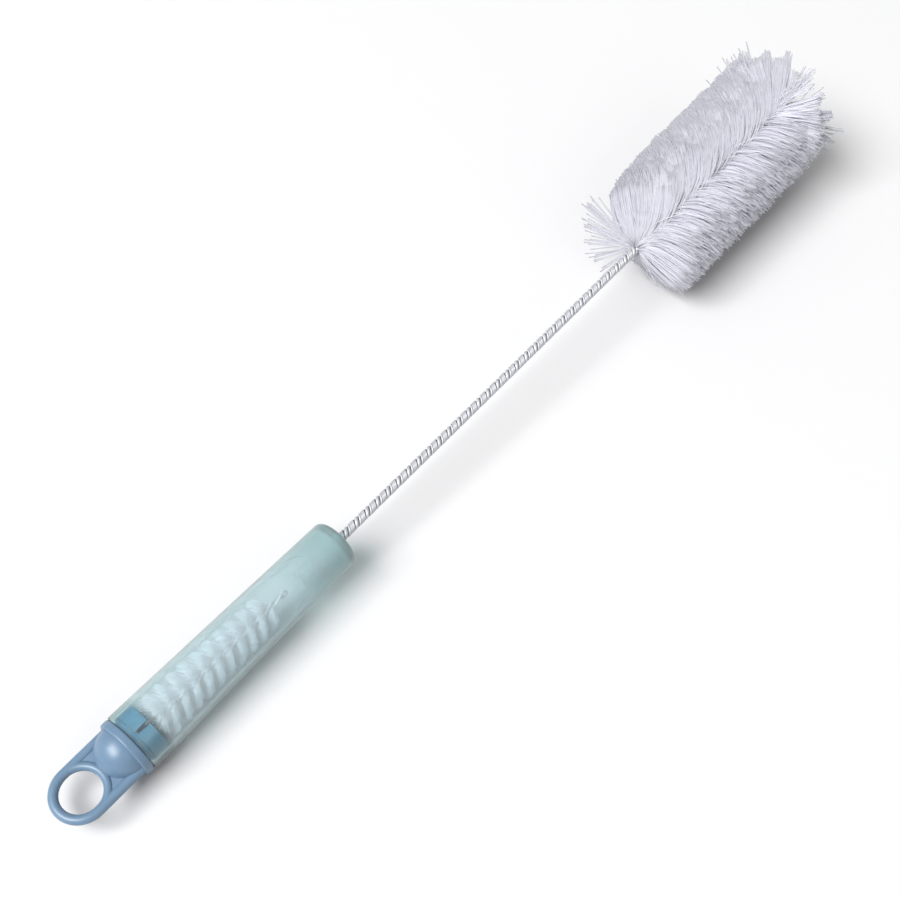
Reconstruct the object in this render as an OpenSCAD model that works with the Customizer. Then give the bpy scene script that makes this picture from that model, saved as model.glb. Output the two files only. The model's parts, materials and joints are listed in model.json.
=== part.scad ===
// Bottle brush with a small teat brush that is kept inside its hollow handle.
//
// Brush frame: X runs along the brush, from the mouth of the handle at x = 0 towards the bristle head.
// The cap's ring lies in the XY plane, at negative x.
// Finished part: the brush lies on the plane z = 0, on the lip of the handle's mouth and on the
// pressed underside of the head. The origin is the middle of the footprint of its bounding box.

/* [Handle] */
// Length of the hollow handle, from its mouth to its closed end
handle_len = 90; // [84:1:110]
// Outside diameter of the handle at its mouth
mouth_d = 20.8; // [20.2:0.2:23]
// Outside diameter of the handle at its closed end
end_d = 17.2; // [16.6:0.2:19]
// Wall of the handle
handle_wall = 1.9; // [1.5:0.1:2.1]
// Thickness of the closed end
end_wall = 2.6; // [2:0.1:4]
// Rounding of the closed end's outer edge
end_round = 2.3; // [1:0.1:3]
// Rounding inside the closed end
floor_round = 1.4; // [0.6:0.1:2]
// Chamfer round the lip of the mouth
lip_chamfer = 0.5; // [0.2:0.1:0.8]
// Length of straight bore behind the mouth
bore_land = 10; // [9:0.5:14]

/* [Stem socket in the closed end] */
// Diameter of the slim front of the socket
socket_d = 6.2; // [5.4:0.2:7.4]
// Depth of the socket's front behind the closed end's outer face
socket_len = 18.6; // [16:0.2:20]
// Diameter of the socket's foot
foot_d = 10; // [8.4:0.2:11]
// Depth of the foot's front behind the closed end's outer face
foot_len = 9.8; // [6:0.2:12]
// Length of stem held in the socket
stem_grip = 15.4; // [10:0.2:15.6]
// Radial clearance of the socket's hole around the twisted stem
stem_gap = 0.03; // [0.01:0.01:0.08]

/* [Wire stem] */
// Diameter of the wire
wire_d = 1.3; // [1.1:0.05:1.4]
// Diameter of the twisted stem over its strands
stem_d = 3.2; // [3:0.1:3.6]
// Length along the stem of one full turn of the twist
stem_pitch = 5; // [4.6:0.2:8]
// Length of bare stem between the handle and the head
bare_len = 155; // [100:5:220]
// Angle about the stem that the wide strand takes, next to the wire
wide_arc = 66; // [40:2:90]
// Number of fine strands beside the wide one
strand_count = 4; // [3:1:6]
// Depth of the grooves between the strands
strand_groove = 0.2; // [0.1:0.05:0.3]
// Inside radius of the wire's fold at the tip
fold_r = 0.9; // [0.7:0.1:1.4]

/* [Bristle head] */
// Diameter of the head
head_d = 50; // [44:1:60]
// Length of wire that holds bristles
head_len = 88; // [70:1:120]
// Depth to which the head's own weight presses its underside flat
head_press = 1.5; // [0.8:0.1:2.5]
// Reach of the last bristles beside the parting beyond the tip of the wire
tip_fan = 10; // [4:1:14]
// Distance that the first bristles on the underside lean forward
under_lean = 12; // [4:1:14]
// Distance that the first bristles beside the parting lean forward
part_lean = 9; // [4:1:14]
// Depth of the parting along the top, as a share of the head's radius
part_depth = 0.86; // [0:0.02:0.88]
// Angle from the parting to the full head on its flat side, towards -Y
part_flat = 95; // [40:5:100]
// Angle from the parting to the full head on its round side, towards +Y
part_round = 72; // [40:2:90]
// Turn of the parting about the brush's axis, from straight up towards -Y
part_turn = 22; // [0:1:40]
// Tufts round the head
head_tufts = 18; // [12:1:24]
// Rings of tufts along the head
head_rings = 26; // [16:2:36]

/* [Ring cap] */
// Clear diameter of the hanging ring
ring_hole_d = 13.2; // [11:0.2:13.6]
// Diameter of the rod that forms the ring and its rails
rod_d = 3.2; // [2.6:0.1:3.4]
// Distance from the flange to the middle of the ring
ring_reach = 16.9; // [15:0.1:22]
// Thickness of the web between the rails
web_t = 1.6; // [1:0.1:2.4]
// Radius of the dome
dome_r = 8.8; // [7.4:0.1:9.4]
// Thickness of the flange
flange_t = 3; // [2.4:0.1:4]
// Rounding of the flange's edges
flange_round = 0.7; // [0.3:0.1:1]
// How far the flange's edge lies inside the edge of the mouth
flange_step = 0.2; // [0:0.1:0.6]
// Length of the spigot in the handle's mouth
spigot_len = 7.5; // [6:0.1:8.5]
// Wall of the spigot
spigot_wall = 1.5; // [1.2:0.1:1.9]
// Radial gap between the spigot and the handle's bore
spigot_gap = 0.06; // [0.02:0.01:0.1]
// Distance of the spigot's groove from the flange
groove_at = 1.7; // [1.2:0.1:2.4]
// Depth and width of the spigot's groove
groove_size = 0.4; // [0.2:0.1:0.6]
// Width of each slot between the spigot's fingers
slot_w = 1.35; // [0.8:0.05:2]
// Number of slots in the spigot
slot_count = 4; // [2:1:6]
// Turn of the slots about the brush's axis, from straight up
slot_turn = 17; // [0:1:45]
// Diameter of the post that holds the teat brush's wire
post_d = 5.2; // [4.4:0.1:6]
// Length of the post beyond the flange's seat
post_len = 5; // [3:0.5:7]

/* [Teat brush] */
// Room left between the tip of the teat brush and the stem's socket
teat_room = 4.9; // [2:0.1:20]
// Diameter of the teat brush's wire
teat_wire_d = 1; // [0.8:0.05:1.1]
// Length of one full turn of the teat brush's twist
teat_pitch = 9.4; // [8:0.2:12]
// Outside diameter of the loop at the tip
teat_loop_d = 3.4; // [2.8:0.1:4]
// Bare wire between the last bristles and the tip
teat_bare = 6.5; // [5:0.5:12]
// Diameter across the last bristles
teat_tip_d = 12.4; // [9:0.2:12.8]
// Gap between the first bristles and the handle's bore
teat_gap = 0.4; // [0.3:0.05:1]
// Angle at which the bristles lean back towards the cap
teat_lean = 28; // [0:1:30]

/* [Hidden] */
$fn = 64;
eps = 0.01;

// Colours
handle_colour = "#B5D6D8";
cap_colour = "#7C9FC8";
steel_colour = "#C9CBD1";
strand_colour = "#E3E4EA";
bristle_colour = "#DDDEEA";

// Handle
mouth_r = mouth_d / 2;
end_r = end_d / 2;
bore_r = mouth_r - handle_wall;
bore_end_r = end_r - handle_wall;
hollow_len = handle_len - end_wall;
stem_x = handle_len - stem_grip;

// Stem: two legs of one wire, the outer leg flush with the stem's surface and the inner one beside it
stem_r = stem_d / 2;
wire_r = wire_d / 2;
outer_leg_r = stem_r - wire_r;
leg_gap = 0.1;
inner_leg_r = wire_d + leg_gap - outer_leg_r;
head_x = handle_len + bare_len;
tip_x = head_x + head_len;
strand_arc = 194;
strand_in_r = inner_leg_r + wire_r + stem_gap;
strands_end = 0.8;

// Steps to a turn of a twisted wire, and of the leg that the strands cover
twist_steps = 6;
covered_steps = 4;
// Steps round the loop at a wire's tip, and sides of the wire's section
loop_steps = 8;
wire_sides = 5;

// Head
head_r = head_d / 2;
head_hole_r = stem_r - 0.15;
fold_show = 2;
valley_share = 0.72;
tuft_jitter = 0.07;
head_seed = 41;
tuft_rows = head_rings + 1;
tuft_cols = 2 * head_tufts;
tuft_noise = rands(0, 1, tuft_rows * (head_tufts + 1), head_seed);
// Power of the share of the length by which the parting closes; a high one keeps it open until the tip
part_closing = 8;

// Ring cap
flange_r = mouth_r - flange_step;
ring_r = (ring_hole_d + rod_d) / 2;
ring_x = -flange_t - ring_reach;
rim_step = 0.12;
spigot_r = bore_r - spigot_gap;
cap_floor_x = -flange_t / 2;
post_hole_x = -flange_t;

// Teat brush: both legs lie at the same distance from the axis, and the bristles come out between them
teat_wire_r = teat_wire_d / 2;
teat_leg_r = teat_wire_r + 0.02;
teat_len = handle_len - socket_len - teat_room;
teat_core_r = teat_leg_r + teat_wire_r;
teat_loop_r = (teat_loop_d - teat_wire_d) / 2;
teat_end_x = teat_len - teat_bare;
teat_root_r = bore_r - teat_gap;
teat_root_x = spigot_len + 0.6 + teat_root_r * tan(teat_lean);
teat_tip_r = teat_tip_d / 2;
teat_sides = 14;
teat_valley_share = 0.62;

// Rest: the mouth's lip and the first bristles touch the floor, so the brush rises towards its head
rest_tilt = atan((head_r - head_press - mouth_r) / head_x);
mouth_z = mouth_r * cos(rest_tilt) - lip_chamfer * sin(rest_tilt);
function floor_z(x) = -(mouth_z + x * sin(rest_tilt)) / cos(rest_tilt);
head_points = concat(
  [for (i = [0 : head_rings], j = [0 : tuft_cols - 1]) tuft_point(i, j)],
  hole_ring(tip_x - fold_show), hole_ring(head_x)
);
function laid_x(p) = p[0] * cos(rest_tilt) - p[2] * sin(rest_tilt);
low_x = laid_x([ring_x - ring_r, 0, 0]) - rod_d / 2;
high_x = max([for (p = head_points) laid_x(p)]);
mid_x = (low_x + high_x) / 2;
mid_y = (min([for (p = head_points) p[1]]) + max([for (p = head_points) p[1]])) / 2;

// ---- Placing ----

// Turns a shape made along Z so that it runs along the brush, starting at x
module along(x = 0) {
  translate([x, 0, 0]) rotate([0, 90, 0]) children();
}

// Lays the brush down on the floor
module laid() {
  translate([-mid_x, -mid_y, mouth_z]) rotate([0, -rest_tilt, 0]) children();
}

// ---- Handle ----

module handle_outline() {
  shoulder = handle_len - end_round;
  polygon([
    [0, 0], [mouth_r - lip_chamfer, 0], [mouth_r, lip_chamfer], [end_r, shoulder], [0, shoulder]
  ]);
  translate([0, shoulder]) square([end_r - end_round, end_round]);
  translate([end_r - end_round, shoulder]) circle(end_round);
}

module handle_hollow() {
  shoulder = hollow_len - floor_round;
  polygon([
    [0, -1], [bore_r, -1], [bore_r, bore_land], [bore_end_r, shoulder], [0, shoulder]
  ]);
  translate([0, shoulder]) square([bore_end_r - floor_round, floor_round]);
  translate([bore_end_r - floor_round, shoulder]) circle(floor_round);
}

module handle() {
  color(handle_colour) laid() difference() {
    union() {
      along() rotate_extrude() difference() {
        handle_outline();
        handle_hollow();
      }
      along(handle_len - socket_len) cylinder(r = socket_d / 2, h = socket_len - end_wall / 2);
      along(handle_len - foot_len) cylinder(r = foot_d / 2, h = foot_len - end_wall / 2);
    }
    along(stem_x) cylinder(r = stem_r + stem_gap, h = stem_grip + 1);
  }
}

// ---- Wire stem ----

// Direction square to the brush's axis, at an angle from Y towards Z
function spoke(a) = [0, cos(a), sin(a)];

// Left-handed helix of radius r between x0 and x1. Each entry holds a point and its outward direction.
function leg(x0, x1, r, pitch, phase, steps) =
  let (n = ceil((x1 - x0) / pitch * steps))
  [for (i = [0 : n]) let (x = x0 + (x1 - x0) * i / n, out = spoke(phase - 360 * x / pitch))
    [[x, 0, 0] + r * out, out]];

// One wire folded in half: up the first leg, round a loop at the tip and back down the second leg
function folded_wire(x0, tip, r1, r2, loop_r, wire_r, pitch, steps2) =
  let (
    half_gap = (r1 + r2) / 2,
    loop_x = tip - wire_r - loop_r,
    start = loop_x - sqrt(pow(loop_r, 2) - pow(half_gap, 2)),
    side = spoke(-360 * start / pitch),
    middle = [loop_x, 0, 0] + (r1 - r2) / 2 * side,
    open = asin(half_gap / loop_r),
    loop = [
      for (i = [1 : loop_steps - 1])
        let (a = 180 - open - i * (360 - 2 * open) / loop_steps, out = [cos(a), 0, 0] + sin(a) * side)
          [middle + loop_r * out, out]
    ],
    back = leg(x0, start, r2, pitch, 180, steps2)
  )
  concat(leg(x0, start, r1, pitch, 0, twist_steps), loop, [for (i = [len(back) - 1 : -1 : 0]) back[i]]);

// A bar of radius r along such a path, with one of its corners on the outward side
module bar(path, r) {
  last = len(path) - 1;
  points = [
    for (i = [0 : last])
      let (
        ahead = path[min(i + 1, last)][0] - path[max(i - 1, 0)][0],
        out = path[i][1],
        across = cross(ahead, out) / norm(cross(ahead, out))
      )
      for (k = [0 : wire_sides - 1]) let (a = 360 * k / wire_sides)
        path[i][0] + r * (cos(a) * out + sin(a) * across)
  ];
  faces = [
    [for (k = [0 : wire_sides - 1]) k],
    for (i = [0 : last - 1], k = [0 : wire_sides - 1])
      let (a = i * wire_sides + k, b = i * wire_sides + (k + 1) % wire_sides)
        each [[a, a + wire_sides, b], [b, a + wire_sides, b + wire_sides]],
    [for (k = [wire_sides - 1 : -1 : 0]) last * wire_sides + k]
  ];
  polyhedron(points, faces, convexity = 10);
}

module stem_wire() {
  path = folded_wire(
    stem_x, tip_x, outer_leg_r, inner_leg_r, fold_r + wire_r, wire_r, stem_pitch, covered_steps
  );
  color(steel_colour) laid() bar(path, wire_r);
}

// Angle at which strand i starts; the wide one comes first
fine_arc = (strand_arc - wide_arc) / strand_count;
function strand_start(i) = 180 - strand_arc / 2 + (i == 0 ? 0 : wide_arc + (i - 1) * fine_arc);

// Section of the bundle: scalloped outside, and hollow where it lies over the wire's inner leg
module strands_section() {
  scallops = [
    for (i = [0 : 2 * strand_count + 2])
      let (
        a = (strand_start(floor(i / 2)) + strand_start(ceil(i / 2))) / 2,
        r = stem_r - (i % 2 == 0 ? strand_groove : 0)
      )
        r * [cos(a), sin(a)]
  ];
  polygon(concat(scallops, [[-strand_in_r, 0]]));
}

module stem_strands() {
  start = handle_len - strands_end;
  length = head_x - strands_end - start;
  turns = length / stem_pitch;
  color(strand_colour) laid()
    along(start) rotate(90 - 360 * start / stem_pitch) linear_extrude(
      height = length, twist = 360 * turns, slices = ceil(turns * twist_steps), $fn = 0, convexity = 10
    ) strands_section();
}

// ---- Bristle head ----

// Repeatable spread of tuft lengths, the same on both sides of the brush
function noise_at(i, j) = tuft_noise[i * (head_tufts + 1) + min(j, tuft_cols - j)];

// Angle from the parting to angle a, which is measured from the underside
function from_parting(a) = a - 180 - part_turn;

// How wide the parting stands open at angle a: 1 along its middle, 0 outside it
function opening(a) =
  let (d = from_parting(a), width = d > 0 ? part_flat : part_round)
  abs(d) < width ? cos(90 * d / width) : 0;

// How far bristle ends lean forward, at share t of the head's length and angle a from its underside
function lean(t, a) =
  (under_lean * (1 + cos(a)) / 2 + part_lean * opening(a)) * pow(1 - t, 3)
  + tip_fan * pow((1 + cos(from_parting(a))) / 2, 2) * pow(t, 3);

// Share of the head's radius that the parting leaves; it closes towards the tip
function parted(t, a) = 1 - part_depth * (1 - pow(t, part_closing)) * opening(a);

// End of a tuft, or the valley between tufts, held above the floor. The tufts that the brush lies on are even.
function tuft_point(i, j) =
  let (
    t = i / head_rings,
    is_tip = (i + j) % 2 == 0,
    a = 360 * j / tuft_cols,
    share = parted(t, a) * (is_tip ? 1 - tuft_jitter * noise_at(i, j) * (1 - cos(a)) / 2 : valley_share),
    x = head_x + t * head_len + lean(t, a),
    y = head_r * share * sin(a),
    z = -head_r * share * cos(a)
  )
  [x, y, max(z, floor_z(x))];

// Ring of points on the hole that the wire fills
function hole_ring(x) =
  [for (j = [0 : tuft_cols - 1]) let (a = 360 * j / tuft_cols)
    [x, head_hole_r * sin(a), -head_hole_r * cos(a)]];

module bristle_head() {
  rows = tuft_rows + 2;
  faces = [
    for (i = [0 : rows - 1], j = [0 : tuft_cols - 1])
      let (
        next_i = (i + 1) % rows,
        next_j = (j + 1) % tuft_cols,
        a = i * tuft_cols + j, b = i * tuft_cols + next_j,
        c = next_i * tuft_cols + next_j, d = next_i * tuft_cols + j
      )
      each ((i + j) % 2 == 0 ? [[a, b, d], [b, c, d]] : [[a, b, c], [a, c, d]])
  ];
  color(bristle_colour) laid() polyhedron(head_points, faces, convexity = 10);
}

// ---- Ring cap ----

module spigot_outline() {
  polygon([
    [0, 0], [spigot_r, 0], [spigot_r, groove_at], [spigot_r - groove_size, groove_at],
    [spigot_r - groove_size, groove_at + groove_size], [spigot_r, groove_at + groove_size],
    [spigot_r, spigot_len - lip_chamfer], [spigot_r - lip_chamfer, spigot_len], [0, spigot_len]
  ]);
}

module flange_outline() {
  translate([0, -flange_t]) square([flange_r - flange_round, flange_t]);
  translate([0, flange_round - flange_t]) square([flange_r, flange_t - 2 * flange_round]);
  for (y = [-flange_round, flange_round - flange_t])
    translate([flange_r - flange_round, y]) circle(flange_round);
}

module cap_body() {
  along() rotate_extrude() {
    flange_outline();
    spigot_outline();
    translate([0, -flange_t]) intersection() {
      circle(dome_r);
      translate([0, -dome_r]) square([dome_r, dome_r + flange_t / 2]);
    }
  }
}

// Hollow of the spigot, round the post that holds the wire
module cap_hollow() {
  along() rotate_extrude() difference() {
    translate([0, cap_floor_x]) square([spigot_r - spigot_wall, spigot_len - cap_floor_x + 1]);
    square([post_d / 2, post_len]);
    translate([0, cap_floor_x]) square([post_d / 2, -cap_floor_x + eps]);
  }
}

module finger_slots() {
  start = groove_at + groove_size + 0.4;
  for (i = [0 : slot_count - 1])
    rotate([slot_turn + 360 * i / slot_count, 0, 0])
      translate([start, -slot_w / 2, spigot_r - spigot_wall - 1])
        cube([spigot_len, slot_w, spigot_wall + 2]);
}

// Half of a ring bent from a rod, on one side of the YZ plane
module half_ring(r, turn) {
  rotate(turn) rotate_extrude(angle = 180) translate([ring_r, 0]) circle(r);
}

// Ring, rails and the web between them; the rim beside the web is a little slimmer than the rest
module ring() {
  reach = ring_reach + flange_t / 2;
  web_w = ring_r - rod_d / 8;
  translate([ring_x, 0, 0]) {
    half_ring(rod_d / 2, 90);
    half_ring(rod_d / 2 - rim_step, -90);
    for (side = [-1, 1]) translate([0, side * ring_r, 0])
      rotate([0, 90, 0]) cylinder(r = rod_d / 2, h = reach);
    translate([0, 0, -web_t / 2]) linear_extrude(web_t) difference() {
      translate([0, -web_w]) square([reach, 2 * web_w]);
      circle(ring_r);
    }
  }
}

module ring_cap() {
  color(cap_colour) laid() difference() {
    union() {
      cap_body();
      ring();
    }
    cap_hollow();
    finger_slots();
    along(post_hole_x) cylinder(r = teat_core_r, h = flange_t + post_len + 1);
  }
}

// ---- Teat brush ----

module teat_brush_wire() {
  path = folded_wire(
    post_hole_x, teat_len, teat_leg_r, teat_leg_r, teat_loop_r, teat_wire_r, teat_pitch, twist_steps
  );
  color(steel_colour) laid() bar(path, teat_wire_r);
}

// Envelope of the teat brush: full bore at the root, tapering to the last bristles
function teat_radius(t) = teat_root_r + (teat_tip_r - teat_root_r) * t;

module teat_brush_bristles() {
  span = teat_end_x - teat_root_x;
  rings = ceil(span / teat_pitch * 8);
  cols = teat_sides;
  outer = [
    for (i = [0 : rings], j = [0 : cols - 1])
      let (
        t = i / rings,
        x = teat_root_x + t * span,
        a = 360 * j / cols,
        wave = max(0, -cos(2 * (a + 360 * x / teat_pitch))),
        r = teat_radius(t) * (teat_valley_share + (1 - teat_valley_share) * wave)
      )
      [x - r * tan(teat_lean), r * cos(a), r * sin(a)]
  ];
  inner = [
    for (x = [teat_end_x, teat_root_x], j = [0 : cols - 1]) let (a = 360 * j / cols, r = teat_core_r - 0.05)
      [x - r * tan(teat_lean), r * cos(a), r * sin(a)]
  ];
  rows = rings + 3;
  faces = [
    for (i = [0 : rows - 1], j = [0 : cols - 1])
      let (
        next_i = (i + 1) % rows,
        next_j = (j + 1) % cols,
        a = i * cols + j, b = i * cols + next_j, c = next_i * cols + next_j, d = next_i * cols + j
      )
      each [[a, d, b], [b, d, c]]
  ];
  color(bristle_colour) laid() polyhedron(concat(outer, inner), faces, convexity = 10);
}

handle();
stem_wire();
stem_strands();
bristle_head();
ring_cap();
teat_brush_wire();
teat_brush_bristles();
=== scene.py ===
"""Bottle brush with a teat brush that is kept inside its hollow handle.

Points are worked out in millimetres in the brush's own frame: x runs along the brush, from the mouth of
the handle (x = 0) to the bristle head, y runs across, and z is square to both. laid() turns them into
the frame's metres, for a brush that lies on the floor and rises slightly towards its head.
Angles round the brush are measured from straight up (+z) towards +y. The bristle head parts along its top
into a far lobe, on the +y side, and a near lobe, on the -y side.
"""
import json
import math

import bpy
import numpy as np
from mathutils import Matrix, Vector


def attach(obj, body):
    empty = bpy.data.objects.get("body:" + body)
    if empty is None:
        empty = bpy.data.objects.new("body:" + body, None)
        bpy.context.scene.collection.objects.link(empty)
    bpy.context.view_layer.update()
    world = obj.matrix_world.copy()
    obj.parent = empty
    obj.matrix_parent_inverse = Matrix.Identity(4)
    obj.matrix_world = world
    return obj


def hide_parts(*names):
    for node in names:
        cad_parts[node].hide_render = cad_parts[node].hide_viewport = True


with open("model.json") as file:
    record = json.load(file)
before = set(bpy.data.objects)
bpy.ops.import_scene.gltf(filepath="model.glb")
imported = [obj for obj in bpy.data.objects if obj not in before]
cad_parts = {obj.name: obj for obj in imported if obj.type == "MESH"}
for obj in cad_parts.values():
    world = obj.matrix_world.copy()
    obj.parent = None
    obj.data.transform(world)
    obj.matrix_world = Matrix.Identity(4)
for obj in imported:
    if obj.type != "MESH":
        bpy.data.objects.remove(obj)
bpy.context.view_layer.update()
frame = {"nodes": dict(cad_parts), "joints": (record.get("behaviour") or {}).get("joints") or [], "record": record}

MM = 0.001
TAU = 2 * math.pi
ALONG = np.array([1.0, 0.0, 0.0])

# ---- The brush's frame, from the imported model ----
RING_REACH = 19.9  # distance from the mouth of the handle back to the middle of the hanging ring
HANG_EYE = next(m for m in frame["record"]["mounts"] if m["name"] == "hang_eye")
AXIS = np.array(frame["joints"][0]["axis"], dtype=float)  # the cap pulls out along the brush
UP = np.array([-AXIS[2], 0.0, AXIS[0]])
MOUTH = np.array(HANG_EYE["pos_m"], dtype=float) + RING_REACH * MM * AXIS

# ---- Sizes, in millimetres ----
PLUG_LEN = 7.5  # the cap's plug reaches this far into the handle
SOCKET_START = 70.0  # where the stem's socket begins in the handle, with the closed end behind it

STEM_START = 74.6  # the wire's ends, in the handle's socket
STEM_PITCH = 5.0  # one full turn of the left-handed twist
WIRE_R = 0.65
OUTER_LEG_R = 0.95  # distance of the leg that shows from the axis
INNER_LEG_R = 0.45  # and of the leg that the fine strands cover
FOLD_R = 1.55  # radius of the wire's fold at the tip of the head
STEM_R = 1.6
OPEN_GROOVE = math.radians(82)  # angle from the wire, across the open groove, to the first strand's edge
STRAND_ARCS = np.radians([66, 32, 32, 32, 32])  # arcs that the wide strand and the fine ones take
STRAND_RS = np.array([0.38, 0.215, 0.215, 0.215, 0.215])  # and their radii
STRANDS_START, STRANDS_END = 89.2, 244.4

HEAD_START, HEAD_END = 245.0, 333.0
HEAD_R = 25.0
ROOT_R = 1.1  # distance from the axis at which filaments leave the wire
FILAMENT_R = 0.21
STRAY_R = 0.25  # a loose filament stands alone, so it is drawn a little thicker

TEAT_WIRE_START = -3.0  # the small wire's ends, inside the cap
TEAT_TIP = 66.5
TEAT_WIRE_R = 0.5
TEAT_LEG_R = 0.52  # distance of either leg from the axis
TEAT_LOOP_R = 1.2
TEAT_PITCH = 9.4
TEAT_START, TEAT_END = 12.6, 60.0
TEAT_FIRST_R, TEAT_LAST_R = 8.0, 6.2  # reach of the first and the last bristles
TEAT_LEAN = math.radians(28)  # back towards the cap
TEAT_FILAMENT_R = 0.08

CAP_BODY = "cap_brush"
BRUSH_BODY = "bottle_brush"


# ---- Geometry ----

def laid(points):
    """World point = mouth of the handle + x along the axis + y across + z along the axis's upward normal."""
    p = np.asarray(points, dtype=float) * MM
    across = np.array([0.0, 1.0, 0.0])
    return MOUTH + p[..., :1] * AXIS + p[..., 1:2] * across + p[..., 2:] * UP


def spokes(angle):
    """Unit vectors square to the brush: (0, sin a, cos a)."""
    a = np.asarray(angle)
    return np.stack([np.zeros_like(a), np.sin(a), np.cos(a)], axis=-1)


def unit(v):
    """Each vector divided by its length."""
    return v / np.linalg.norm(v, axis=-1, keepdims=True)


def piece(name, verts, quads, triangles, body, material):
    """A smooth mesh from vertices (n, 3) in metres, quads (q, 4) and triangles (t, 3), riding on a body."""
    corners = np.concatenate([np.ravel(quads), np.ravel(triangles)]).astype(np.int32)
    sizes = np.concatenate([np.full(len(quads), 4), np.full(len(triangles), 3)])
    mesh = bpy.data.meshes.new(name)
    mesh.vertices.add(len(verts))
    mesh.vertices.foreach_set("co", np.asarray(verts, dtype=np.float32).ravel())
    mesh.loops.add(len(corners))
    mesh.loops.foreach_set("vertex_index", corners)
    mesh.polygons.add(len(sizes))
    mesh.polygons.foreach_set("loop_start", (np.cumsum(sizes) - sizes).astype(np.int32))
    mesh.polygons.foreach_set("use_smooth", np.arange(len(sizes)) < len(quads))
    mesh.update(calc_edges=True)
    mesh.materials.append(material)
    obj = bpy.data.objects.new(name, mesh)
    bpy.context.scene.collection.objects.link(obj)
    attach(obj, body)
    return obj


def rods(centres, outs, radius, sides):
    """Round rods along many paths at once, cut off square at both ends.

    centres and outs are (rods, rings, 3): the centre line and a direction away from it. Each ring is
    centre + radius * (cos k * out + sin k * across), with across = heading x out. Returns vertices, the
    quads of the sides and the triangles of the flat ends.
    """
    heading = unit(np.gradient(centres, axis=1))
    across = unit(np.cross(heading, outs))
    outs = np.cross(across, heading)
    count, rings, _ = centres.shape
    k = np.arange(sides) * TAU / sides
    ring = np.cos(k)[:, None] * outs[:, :, None] + np.sin(k)[:, None] * across[:, :, None]
    verts = centres[:, :, None] + radius * ring
    first = np.arange(count)[:, None, None] * rings * sides
    row = np.arange(rings - 1)[None, :, None] * sides
    a = np.arange(sides)[None, None]
    b = (a + 1) % sides
    low, high = first + row, first + row + sides
    quads = np.stack([low + a, low + b, high + b, high + a], -1)
    fan = np.arange(1, sides - 1)
    near = np.stack([0 * fan, fan + 1, fan], -1)
    far = np.stack([0 * fan, fan, fan + 1], -1) + (rings - 1) * sides
    ends = first + np.concatenate([near, far])[None]
    return verts.reshape(-1, 3), quads.reshape(-1, 4), ends.reshape(-1, 3)


def leg(x0, x1, r, pitch, phase, steps):
    """Left-handed helix: at x the wire's centre lies at angle phase + 360 * x / pitch, at radius r."""
    x = np.linspace(x0, x1, int(math.ceil((x1 - x0) / pitch * steps)) + 1)
    out = spokes(phase + TAU * x / pitch)
    return x[:, None] * ALONG + r * out, out


def folded_wire(x0, tip, r1, r2, loop_r, wire_r, pitch, steps, phase=math.pi / 2, loop_steps=26):
    """One wire folded in half: up one leg, round a circle of radius loop_r at the tip, down the other leg."""
    half_gap = (r1 + r2) / 2
    loop_x = tip - wire_r - loop_r
    start = loop_x - math.sqrt(loop_r ** 2 - half_gap ** 2)
    side = spokes(phase + TAU * start / pitch)
    opening = math.asin(half_gap / loop_r)
    a = np.linspace(math.pi - opening, opening - math.pi, loop_steps)[1:-1, None]
    loop_out = np.cos(a) * ALONG + np.sin(a) * side
    loop = loop_x * ALONG + (r1 - r2) / 2 * side + loop_r * loop_out
    up, up_out = leg(x0, start, r1, pitch, phase, steps)
    down, down_out = leg(x0, start, r2, pitch, phase + math.pi, steps)
    return np.concatenate([up, loop, down[::-1]]), np.concatenate([up_out, loop_out, down_out[::-1]])


def smoothstep(x, low, high):
    """0 below low, 1 above high, and the cubic 3t^2 - 2t^3 between."""
    t = np.clip((x - low) / (high - low), 0, 1)
    return t * t * (3 - 2 * t)


# ---- Materials ----

def linear(code):
    """An sRGB hex colour as linear RGBA."""
    channels = [int(code[i:i + 2], 16) / 255 for i in (1, 3, 5)]
    return [c / 12.92 if c <= 0.04045 else ((c + 0.055) / 1.055) ** 2.4 for c in channels] + [1.0]


def add(tree, kind, inputs=None, **settings):
    """Adds a node; inputs maps a socket's name or number to a value or to the socket it is fed from."""
    made = tree.nodes.new(kind)
    for name, value in settings.items():
        setattr(made, name, value)
    for key, value in (inputs or {}).items():
        if isinstance(value, bpy.types.NodeSocket):
            tree.links.new(value, made.inputs[key])
        else:
            made.inputs[key].default_value = value
    return made


def blank(name):
    """An empty node material: returns it, its tree and its output node."""
    material = bpy.data.materials.new(name)
    material.use_nodes = True
    tree = material.node_tree
    tree.nodes.clear()
    return material, tree, tree.nodes.new("ShaderNodeOutputMaterial")


def noise(tree, size_mm, detail=2.0):
    """Soft noise from 0 to 1, in patches of about size_mm on the piece."""
    place = add(tree, "ShaderNodeTexCoord")
    made = add(tree, "ShaderNodeTexNoise", {
        "Vector": place.outputs["Object"], "Scale": 1 / (size_mm * MM), "Detail": detail,
    })
    return made.outputs["Fac"]


def blend(tree, share, first, second):
    """A colour that goes from the first to the second as the share goes from 0 to 1."""
    return add(tree, "ShaderNodeMix", {0: share, 6: first, 7: second}, data_type="RGBA").outputs[2]


def ramp(tree, share, at_0, at_1):
    """A number that goes from at_0 to at_1 as the share goes from 0 to 1."""
    return add(tree, "ShaderNodeMapRange", {0: share, 3: at_0, 4: at_1}).outputs[0]


def relief(tree, height, strength, depth_mm):
    """A bump's normal, from a height of 0 to 1 that stands for depth_mm."""
    made = add(tree, "ShaderNodeBump", {"Height": height, "Strength": strength, "Distance": depth_mm * MM})
    return made.outputs["Normal"]


def mottled(tree, light, dark, size_mm):
    """A colour that drifts between two shades in patches of about size_mm, and the drift, 1 where light."""
    drift = noise(tree, size_mm, 3.0)
    return blend(tree, drift, linear(dark), linear(light)), drift


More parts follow.
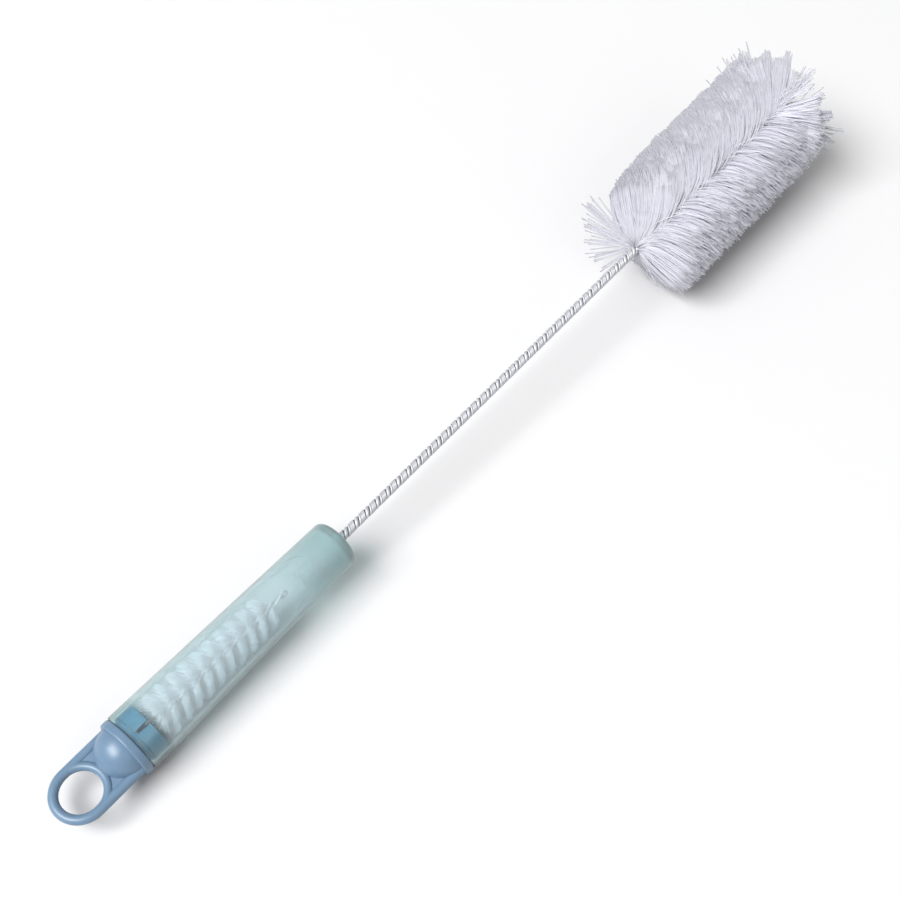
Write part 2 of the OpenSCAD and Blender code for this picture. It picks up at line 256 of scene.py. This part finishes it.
def rise_along(tree, x0, x1):
    """0 on the ring's side of x0 millimetres from the mouth, 1 beyond x1, and a straight rise between."""
    place = add(tree, "ShaderNodeTexCoord")
    dot = add(tree, "ShaderNodeVectorMath", {0: place.outputs["Object"], 1: tuple(AXIS)},
              operation="DOT_PRODUCT")
    mouth = float(MOUTH @ AXIS)
    low, high = mouth + x0 * MM, mouth + x1 * MM
    return add(tree, "ShaderNodeMapRange", {0: dot.outputs["Value"], 1: low, 2: high}).outputs[0]


def lit_through(tree, shader, onwards):
    """Lets this share of a lamp's light go straight on through a surface that scatters it forwards.

    Only shadow rays are let through, which the surface would otherwise stop, so it looks the same.
    """
    ray = add(tree, "ShaderNodeLightPath")
    share = add(tree, "ShaderNodeMath", {0: ray.outputs["Is Shadow Ray"], 1: onwards}, operation="MULTIPLY")
    clear = add(tree, "ShaderNodeBsdfTransparent", {"Color": linear("#FFFFFF")})
    mix = add(tree, "ShaderNodeMixShader", {0: share.outputs[0], 1: shader, 2: clear.outputs[0]})
    return mix.outputs[0]


def polypropylene_cap():
    """Blue polypropylene, injection moulded against a satin-blasted tool: soft gloss, faint cloudiness."""
    material, tree, out = blank("moulded_polypropylene_blue")
    blue, _ = mottled(tree, "#627B92", "#577087", 9)
    # the plug, inside the tube, is painted a deeper blue: painted shade for its place in the tube's shadow,
    # standing in too for the clearer look where the tube presses on it with no air between
    blue = blend(tree, rise_along(tree, 0, 0.5), blue, linear("#487F9B"))
    # the satin tool's grain is about 0.05 mm, drawn at 0.25 mm so that it breaks up the gloss
    grain = relief(tree, noise(tree, 0.25), 0.06, 0.05)
    skin = add(tree, "ShaderNodeBsdfPrincipled", {
        "Base Color": blue, "Roughness": 0.36, "IOR": 1.52, "Normal": grain,
        "Subsurface Weight": 0.12, "Subsurface Radius": (0.002, 0.002, 0.003), "Subsurface Scale": 0.4,
    })
    tree.links.new(skin.outputs[0], out.inputs["Surface"])
    return material


def frosted_polypropylene():
    """Natural polypropylene with a little blue-green pigment: hazy and see-through, satin outside.

    The haze sends light on mostly forwards, so lamps shine through the wall. Thick places such as the closed
    end take on the pigment's colour.
    """
    material, tree, out = blank("frosted_polypropylene_mint")
    # the tube looks clearer round the plug, which presses on it, and milkier at its thick, closed end
    haze = rise_along(tree, PLUG_LEN, PLUG_LEN + 2)
    thick = rise_along(tree, SOCKET_START - 6, SOCKET_START + 14)
    body, _ = mottled(tree, "#EAF1F4", "#E0E9ED", 24)
    body = blend(tree, thick, body, linear("#BDD3D6"))
    through = add(tree, "ShaderNodeMath", {0: thick, 1: -0.12, 2: ramp(tree, haze, 0.97, 0.83)},
                  operation="MULTIPLY_ADD")
    # flow ripples left by the mould, about 6 mm long
    ripple = relief(tree, noise(tree, 6), 0.015, 0.3)
    # the IOR is low for polypropylene: light that the haze has spread hardly shows the bend of a clear wall
    skin = add(tree, "ShaderNodeBsdfPrincipled", {
        "Base Color": body, "Roughness": ramp(tree, haze, 0.06, 0.15), "IOR": 1.2, "Normal": ripple,
        "Transmission Weight": through.outputs[0], "Coat Weight": 1.0, "Coat Roughness": 0.36,
    })
    pigment = add(tree, "ShaderNodeVolumeAbsorption", {"Color": linear("#A9D0CF"), "Density": 210.0})
    tree.links.new(lit_through(tree, skin.outputs[0], 0.7), out.inputs["Surface"])
    tree.links.new(pigment.outputs[0], out.inputs["Volume"])
    return material


def galvanised_wire():
    """Zinc-coated steel wire, drawn and bright: fine lengthwise wear, cool grey reflections."""
    material, tree, out = blank("galvanised_steel_wire")
    zinc, drift = mottled(tree, "#C2C3C7", "#AEB0B5", 1.6)
    skin = add(tree, "ShaderNodeBsdfPrincipled", {
        "Base Color": zinc, "Roughness": ramp(tree, drift, 0.42, 0.55), "Metallic": 0.4,
    })
    tree.links.new(skin.outputs[0], out.inputs["Surface"])
    return material


def nylon_filament(name, light, dark, onwards):
    """Nylon monofilament, extruded and clear-white: a soft shine, and more than half of the light goes in.

    A clear filament bends a lamp's light onwards, by the share that onwards gives: the most where filaments
    lie thin and loose, less where they shade each other.
    """
    material, tree, out = blank(name)
    white, _ = mottled(tree, light, dark, 2.5)
    skin = add(tree, "ShaderNodeBsdfPrincipled", {
        "Base Color": white, "Roughness": 0.5, "IOR": 1.53, "Specular IOR Level": 0.4,
    })
    glow = add(tree, "ShaderNodeBsdfTranslucent", {"Color": white})
    body = add(tree, "ShaderNodeMixShader", {0: 0.55, 1: skin.outputs[0], 2: glow.outputs[0]})
    tree.links.new(lit_through(tree, body.outputs[0], onwards), out.inputs["Surface"])
    return material


CAP_SKIN = polypropylene_cap()
HANDLE_SKIN = frosted_polypropylene()
WIRE_SKIN = galvanised_wire()
# one nylon in lit and shaded copies, painted light and shade: the far lobe's copy, which the loose filaments
# share, is painted darker as painted shade; the near lobe's copy is painted lighter, as painted light in its shade
FAR_NYLON_PAINTED_DARKER = nylon_filament("nylon_filament_flat_lobe_painted_darker", "#DDDDE2", "#D6D6DC", 0.92)
NEAR_NYLON_PAINTED_LIGHTER = nylon_filament("nylon_filament_round_lobe_painted_lighter", "#EEEEF3", "#E6E6EC", 0.54)
# the teat brush's copy is painted lighter still: painted light for what the handle's wall takes from the lamps
TEAT_NYLON_PAINTED_LIGHTER = nylon_filament("nylon_filament_teat_painted_lighter", "#F9F9FD", "#F5F6FB", 0.9)


# ---- Moulded pieces: the CAD solids with smooth shading ----

def dress(node, material):
    """Gives a CAD node its material; its facets are welded and shaded smooth between its sharp edges."""
    obj = frame["nodes"][node]
    obj.data.materials.clear()
    obj.data.materials.append(material)
    obj.data.polygons.foreach_set("use_smooth", np.ones(len(obj.data.polygons), dtype=bool))
    weld = obj.modifiers.new("weld", "WELD")
    weld.merge_threshold = 0.002 * MM
    split = obj.modifiers.new("sharp edges", "EDGE_SPLIT")
    split.split_angle = math.radians(28)


dress("ring_cap", CAP_SKIN)
dress("handle", HANDLE_SKIN)


# ---- Stem ----

def make_stem():
    """The folded, twisted wire and, along the bare stem, a wide and four fine strands laid into its twist."""
    path, out = folded_wire(STEM_START, HEAD_END, OUTER_LEG_R, INNER_LEG_R, FOLD_R, WIRE_R,
                            STEM_PITCH, steps=24)
    verts, quads, ends = rods(path[None], out[None], WIRE_R, 12)
    wire = piece("stem_wire_drawn", laid(verts), quads, ends, BRUSH_BODY, WIRE_SKIN)
    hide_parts("stem_wire")

    steps_per_turn = 20
    steps = int((STRANDS_END - STRANDS_START) / STEM_PITCH * steps_per_turn)
    x = np.linspace(STRANDS_START, STRANDS_END, steps)
    place = OPEN_GROOVE + np.cumsum(STRAND_ARCS) - STRAND_ARCS / 2
    out = spokes(math.pi / 2 - place[:, None] + TAU * x[None] / STEM_PITCH)
    centres = x[None, :, None] * ALONG + (STEM_R - STRAND_RS)[:, None, None] * out
    verts, quads, ends = rods(centres, out, STRAND_RS[:, None, None, None], 8)
    strands = piece("stem_strands_drawn", laid(verts), quads, ends, BRUSH_BODY, WIRE_SKIN)
    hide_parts("stem_strands")


# ---- Bristle head ----

HALF_COUNT = 7200  # filaments in each half of the head
PARTING = math.radians(-17)  # where the head parts, and the filaments fall to both sides
FAR_FALL, NEAR_FALL = math.radians(78), math.radians(76)  # turn of the filaments right at the parting
FALL_END = math.radians(112)  # angle from the parting from which filaments stand straight
STRAND_STEP, STRAND_ARC = 0.82, math.radians(7)  # spacing of the near lobe's strands along and round it
TIP_TUFTS = 13  # the last filaments stand in this many tufts round the tip
FULL_TUFT = math.radians(83)  # angle from the parting of the longest tufts

# how far filaments lean towards the tip
ROOT_LEAN = math.radians(64)  # at the wire, beside the parting
FAR_VALLEY_LEAN, NEAR_VALLEY_LEAN = math.radians(24), math.radians(4)  # at the ends of those filaments
FAR_LEAN = math.radians(8)  # all over the far lobe
FIRST_UNDER_LEAN, FIRST_FAR_LEAN = math.radians(42), math.radians(14)  # more of it where the head starts
TIP_LEAN, TUFT_LEAN = math.radians(30), math.radians(6)  # at the tip's upper side, and of its tufts


def filament_paths(x0, angle, bend, bent_by, root_rake, rake, length, rings):
    """Centre lines of filaments nipped at x0 on the wire.

    At share s of its length a filament heads round the brush at angle + bend * smoothstep(s, 0, bent_by). Its
    rake towards the tip goes from root_rake to rake by smoothstep(s, 0, 0.7). Its place is the running sum
    of its heading.
    """
    s = np.linspace(0, 1, rings)[None]
    out = spokes(angle[:, None] + bend[:, None] * smoothstep(s, 0, bent_by[:, None]))
    raked = (root_rake[:, None] + (rake - root_rake)[:, None] * smoothstep(s, 0, 0.7))[..., None]
    heading = np.cos(raked) * out + np.sin(raked) * ALONG
    middle = (heading[:, 1:] + heading[:, :-1]) / 2
    steps = np.concatenate([ROOT_R * out[:, :1], middle * (length / (rings - 1))[:, None, None]], axis=1)
    centres = np.cumsum(steps, axis=1)
    centres[..., 0] += x0[:, None]
    return centres, np.cos(raked) * ALONG - np.sin(raked) * out


def above_floor(centres, clearance=0.15):
    """Filament points that would pass through the floor are laid on it. Brush frame in, metres out."""
    world = laid(centres)
    world[..., 2] = np.maximum(world[..., 2], clearance * MM)
    return world


def head_filaments(name, material, x0, angle, bend, bent_by, root_rake, rake, length, radius=FILAMENT_R):
    """One batch of the head's filaments, as one piece."""
    centres, across = filament_paths(x0, angle, bend, bent_by, root_rake, rake, length, 7)
    verts, quads, ends = rods(above_floor(centres) / MM, across, radius, 3)
    head = piece(name, verts * MM, quads, ends, BRUSH_BODY, material)
    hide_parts("bristle_head")


def fallen(angle, far, tip):
    """Turn by which filaments fall away from the parting, and their angle from it, 0 where they crossed it.

    The turn is the lobe's full fall at the parting and goes down to nothing at FALL_END; the tip falls less.
    """
    lobe = np.where(far, 1, -1)
    off = np.clip(lobe * angle, 0, math.pi)
    most = np.where(far, FAR_FALL, NEAR_FALL) * (1 - 0.7 * tip)
    return lobe * most * np.clip(1 - off / FALL_END, 0, 1) ** np.where(far, 1.15, 1.0), off


def gathered(x0, angle, far, tip):
    """Draws the near lobe's filaments into strands, which leave gaps between their ends.

    A strand is a cell of a grid of STRAND_STEP along the brush by STRAND_ARC round it, with its middle moved
    by 0.3 sin(13 i + 78 j) of a cell. Gives the filaments' way to their strand's middle along the brush, in
    millimetres, and round it, and the strand's numbers i and j.
    """
    i, j = np.stack([np.floor(x0 / STRAND_STEP), np.floor(angle / STRAND_ARC)]).astype(int)
    jitter = np.sin(i * 12.99 + j * 78.23) * 0.3
    along = (i + 0.5 + jitter) * STRAND_STEP - x0
    about = (j + 0.5 + jitter) * STRAND_ARC - angle
    pull = np.where(far, 0.0, 0.85) * (1 - tip)
    return pull * along, pull * about, i, j


def tufted(angle, tip):
    """The last filaments' turn towards their tuft's middle, and the tuft's lean and length, each -1 to 1."""
    place = angle / TAU * TIP_TUFTS
    tuft = np.floor(place).astype(int)
    lean, length = np.random.default_rng(TIP_TUFTS).uniform(-1, 1, (2, TIP_TUFTS))[:, tuft]
    return 0.85 * tip * (tuft + 0.5 - place) * TAU / TIP_TUFTS, lean, length


def make_head(seed, index):
    """A half of the head's filaments, spread along its whole length: one piece for each lobe."""
    rng = np.random.default_rng(seed)
    count = HALF_COUNT
    x0 = rng.uniform(HEAD_START, HEAD_END, count)
    t = (x0 - HEAD_START) / (HEAD_END - HEAD_START)
    tip = smoothstep(t, 0.84, 0.97)
    # the filaments leave the twist on its two open sides, so they form a double spiral
    side = rng.integers(0, 2, count)
    angle = math.pi + TAU * x0 / STEM_PITCH + side * math.pi + rng.normal(0, 0.8, count) - PARTING
    angle = (angle + math.pi) % TAU - math.pi
    # they fall to the far or the near side of the parting, and a few cross it; the far lobe is combed flat
    far = angle + rng.normal(0, 0.32, count) > 0
    bend, off = fallen(angle, far, tip)
    bend += rng.normal(0, 1, count) * np.where(far, 0.015, 0.03)
    bent_by = np.where(far, 0.75, 0.36)
    along, about, strand_i, strand_j = gathered(x0, angle, far, tip)
    bend += about
    to_tuft, tuft_lean, tuft_length = tufted(angle, tip)
    bend += to_tuft
    # beside the parting the filaments leave the wire leaning well forward, and so they fill its valley
    beside = np.exp(-(off / math.radians(42)) ** 2) * (1 - tip)
    under = ((1 - np.cos(angle + bend + PARTING + math.radians(30))) / 2) ** 2
    over = ((1 + np.cos(angle + bend)) / 2) ** 2
    root_rake = ROOT_LEAN * beside
    rake = (FIRST_UNDER_LEAN * under + FIRST_FAR_LEAN * far) * (1 - t) ** 3
    rake += np.where(far, FAR_VALLEY_LEAN, NEAR_VALLEY_LEAN) * beside + FAR_LEAN * far * (1 - tip)
    rake += smoothstep(t, 0.75, 1.0) * TIP_LEAN * over + TUFT_LEAN * tip * tuft_lean
    rake += along / HEAD_R + rng.normal(0, 1, count) * np.where(far, 0.018, 0.02)
    # the far lobe's edge is clipped in shallow steps, and the near lobe's strands end at many lengths
    steps = 0.016 * np.round(np.sin(1.1 * x0) + np.sin(0.47 * x0 + 1))
    share = np.where(far, 1 + steps, 0.975 + 0.015 * np.cos(strand_i * 5.1 + strand_j * 3.7))
    share -= ~far * (1 - tip) * rng.uniform(0, 0.16, count)
    share += tip * (0.08 * np.exp(-((angle - FULL_TUFT) / 0.5) ** 2) - 0.05 * (1 + tuft_length))
    share -= np.abs(rng.normal(0, 1, count)) * np.where(far, 0.008, 0.02)
    paths = np.stack([x0, angle + PARTING, bend, bent_by, root_rake, rake, (HEAD_R - ROOT_R) * share])
    head_filaments("head_far_%d" % index, FAR_NYLON_PAINTED_DARKER, *paths[:, far])
    head_filaments("head_near_%d" % index, NEAR_NYLON_PAINTED_LIGHTER, *paths[:, ~far])


def make_strays():
    """Loose filaments at the first turn, fanned out on the far side: the lower ones lean back over the stem.

    They stand in threes. The last two are short ones that hang down on the near side.
    """
    rng = np.random.default_rng(3)
    groups = 16
    count = 3 * groups
    x0 = rng.uniform(HEAD_START, HEAD_START + 2.5, count)
    turn, lean = np.repeat(rng.normal(0, 1, (2, groups)), 3, axis=1)
    fan = np.repeat(np.linspace(64, 152, groups), 3)
    angle = np.radians(fan + 3 * turn + rng.normal(0, 1.5, count))
    rake = -math.radians(16) * smoothstep(angle, math.radians(104), math.radians(140))
    rake += np.radians(3 + 3 * lean + rng.normal(0, 1.2, count))
    angle[-2:] = np.radians([-150, -128])
    length = (HEAD_R - ROOT_R) * rng.uniform(0.88, 1.04, count)
    length[-2:] *= 0.6
    bend = rng.normal(0, 0.06, count)
    bent_by = np.ones(count)
    head_filaments("head_strays", FAR_NYLON_PAINTED_DARKER, x0, angle, bend, bent_by, 0.3 * rake, rake, length, STRAY_R)


def make_tip_strays():
    """Single filaments that stand out between the last tufts; those on the far side are a little longer."""
    rng = np.random.default_rng(5)
    angle = np.radians(np.concatenate([np.linspace(84, 40, 12), np.linspace(-84, -130, 9)]))
    count = len(angle)
    far = angle > 0
    x0 = HEAD_END - np.where(far, rng.uniform(3, 15, count), rng.uniform(0.5, 8, count))
    rake = np.radians(np.where(far, 20, 26) + rng.normal(0, 4, count))
    length = (HEAD_R - ROOT_R) * (np.where(far, 1.1, 0.98) + rng.uniform(0, 0.1, count))
    bend = rng.normal(0, 0.05, count)
    bent_by = np.ones(count)
    head_filaments("head_tip_strays", FAR_NYLON_PAINTED_DARKER, x0, angle, bend, bent_by, 0.5 * rake, rake, length, STRAY_R)


# ---- Teat brush ----

def make_teat_brush():
    """The small folded wire with its loop, and a double spiral of bristles that lean back towards the cap."""
    path, out = folded_wire(TEAT_WIRE_START, TEAT_TIP, TEAT_LEG_R, TEAT_LEG_R, TEAT_LOOP_R, TEAT_WIRE_R,
                            TEAT_PITCH, steps=28)
    verts, quads, ends = rods(path[None], out[None], TEAT_WIRE_R, 12)
    wire = piece("teat_brush_wire_drawn", laid(verts), quads, ends, CAP_BODY, WIRE_SKIN)
    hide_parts("teat_brush_wire")

    rng = np.random.default_rng(7)
    count = 5200
    x0 = rng.uniform(TEAT_START, TEAT_END, count)
    side = rng.integers(0, 2, count)
    angle = math.pi + TAU * x0 / TEAT_PITCH + side * math.pi + rng.normal(0, 0.34, count)
    t = (x0 - TEAT_START) / (TEAT_END - TEAT_START)
    reach = TEAT_FIRST_R + (TEAT_LAST_R - TEAT_FIRST_R) * t
    length = (reach - TEAT_LEG_R) * (1 - np.abs(rng.normal(0, 0.08, count)))
    lean = -np.tan(TEAT_LEAN) * length + rng.normal(0, 0.35, count)
    s = np.linspace(0, 1, 4)
    heading = spokes(angle[:, None] + rng.normal(0, 0.05, count)[:, None] * s)
    centres = (TEAT_LEG_R + length[:, None, None] * s[:, None]) * heading
    centres[..., 0] = x0[:, None] + lean[:, None] * s ** 1.2
    verts, quads, ends = rods(centres, heading, TEAT_FILAMENT_R, 3)
    bristles = piece("teat_bristles_drawn", laid(verts), quads, ends, CAP_BODY, TEAT_NYLON_PAINTED_LIGHTER)
    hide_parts("teat_brush_bristles")


make_stem()
for half in range(2):
    make_head(100 + half, half)
make_strays()
make_tip_strays()
make_teat_brush()


# ---- Floor, light and camera ----

def make_floor(half=3.0):
    """A flat sheet of matt pale paper, half metres to each side of the origin."""
    material, tree, out = blank("studio_paper")
    skin = add(tree, "ShaderNodeBsdfPrincipled", {"Base Color": linear("#C7C7C8"), "Roughness": 0.9})
    tree.links.new(skin.outputs[0], out.inputs["Surface"])
    mesh = bpy.data.meshes.new("floor")
    corners = [(-half, -half, 0), (half, -half, 0), (half, half, 0), (-half, half, 0)]
    mesh.from_pydata(corners, [], [(0, 1, 2, 3)])
    mesh.materials.append(material)
    floor = bpy.data.objects.new("floor", mesh)
    bpy.context.scene.collection.objects.link(floor)


def make_sky(strength):
    """Even white light from all round."""
    world = bpy.data.worlds.new("studio")
    bpy.context.scene.world = world
    world.use_nodes = True
    back = world.node_tree.nodes["Background"]
    back.inputs["Color"].default_value = (1, 1, 1, 1)
    back.inputs["Strength"].default_value = strength


def softbox(name, direction, width, height, radiance, distance=6.0):
    """A lamp that faces the brush, width by height metres; its power is radiance * pi * area."""
    light = bpy.data.lights.new(name, "AREA")
    light.shape = "RECTANGLE"
    light.size, light.size_y = width, height
    light.energy = radiance * math.pi * width * height
    lamp = bpy.data.objects.new(name, light)
    bpy.context.scene.collection.objects.link(lamp)
    lamp.location = Vector(direction).normalized() * distance
    lamp.rotation_mode = "QUATERNION"
    lamp.rotation_quaternion = Vector(direction).to_track_quat("Z", "Y")


def make_camera():
    """A 61 mm lens on a 36 mm sensor, aimed at a point on the floor by the middle of the brush."""
    camera = bpy.data.cameras.new("camera")
    camera.lens = 61.2
    camera.sensor_width = 36.0
    obj = bpy.data.objects.new("camera", camera)
    bpy.context.scene.collection.objects.link(obj)
    target = Vector((MOUTH[0] + 0.1475, MOUTH[1] + 0.00298, 0.0))
    azimuth, elevation, distance = math.radians(-48.62), math.radians(56.07), 0.5282
    back = Vector((math.sin(azimuth) * math.cos(elevation), -math.cos(azimuth) * math.cos(elevation),
                   math.sin(elevation)))
    obj.location = target + back * distance
    obj.rotation_mode = "QUATERNION"
    obj.rotation_quaternion = back.to_track_quat("Z", "Y")
    bpy.context.scene.camera = obj


make_floor()
make_sky(0.5)
softbox("key", (-0.58, 0.15, 0.80), 4.4, 3.0, 14.5)
softbox("fill", (-0.1, -0.75, 0.65), 3.0, 3.0, 1.2)
make_camera()
bpy.context.scene.view_settings.view_transform = "Standard"
